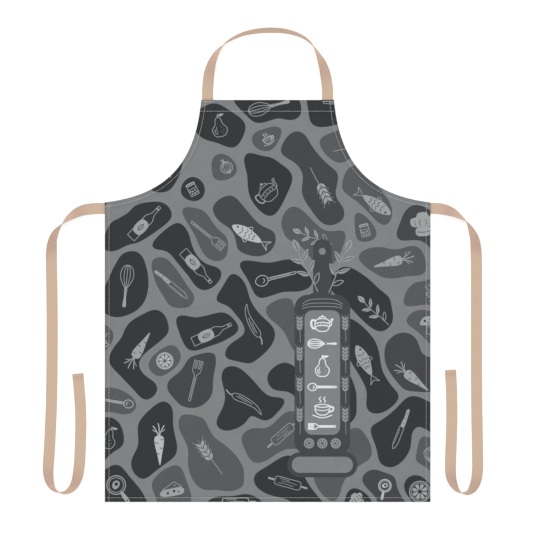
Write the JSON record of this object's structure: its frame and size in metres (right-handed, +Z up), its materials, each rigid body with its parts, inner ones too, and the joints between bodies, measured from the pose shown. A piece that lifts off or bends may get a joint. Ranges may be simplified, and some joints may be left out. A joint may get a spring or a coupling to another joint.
{
  "type": "strap apron",
  "caption": "Bib apron of printed twill with hemmed edges, a neck strap and two waist ties of woven tape, laid out flat.",
  "frame": {"origin": "on the centre line at the waist, on the underside of the cloth, where it rests on the surface", "axes": "+Y along the centre line from the waist towards the neck strap, +Z up out of the printed face, +X to the right of someone who looks down on it"},
  "size_m": [0.7926, 0.8534, 0.02],
  "materials": {
    "apron_cloth": "printed cotton twill, matt",
    "strap_tape": "woven cotton tape, matt"
  },
  "bodies": {
    "root": {"apron_panel": "apron_cloth", "neck_strap": "strap_tape", "left_tie": "strap_tape", "right_tie": "strap_tape"}
  },
  "joints": []
}
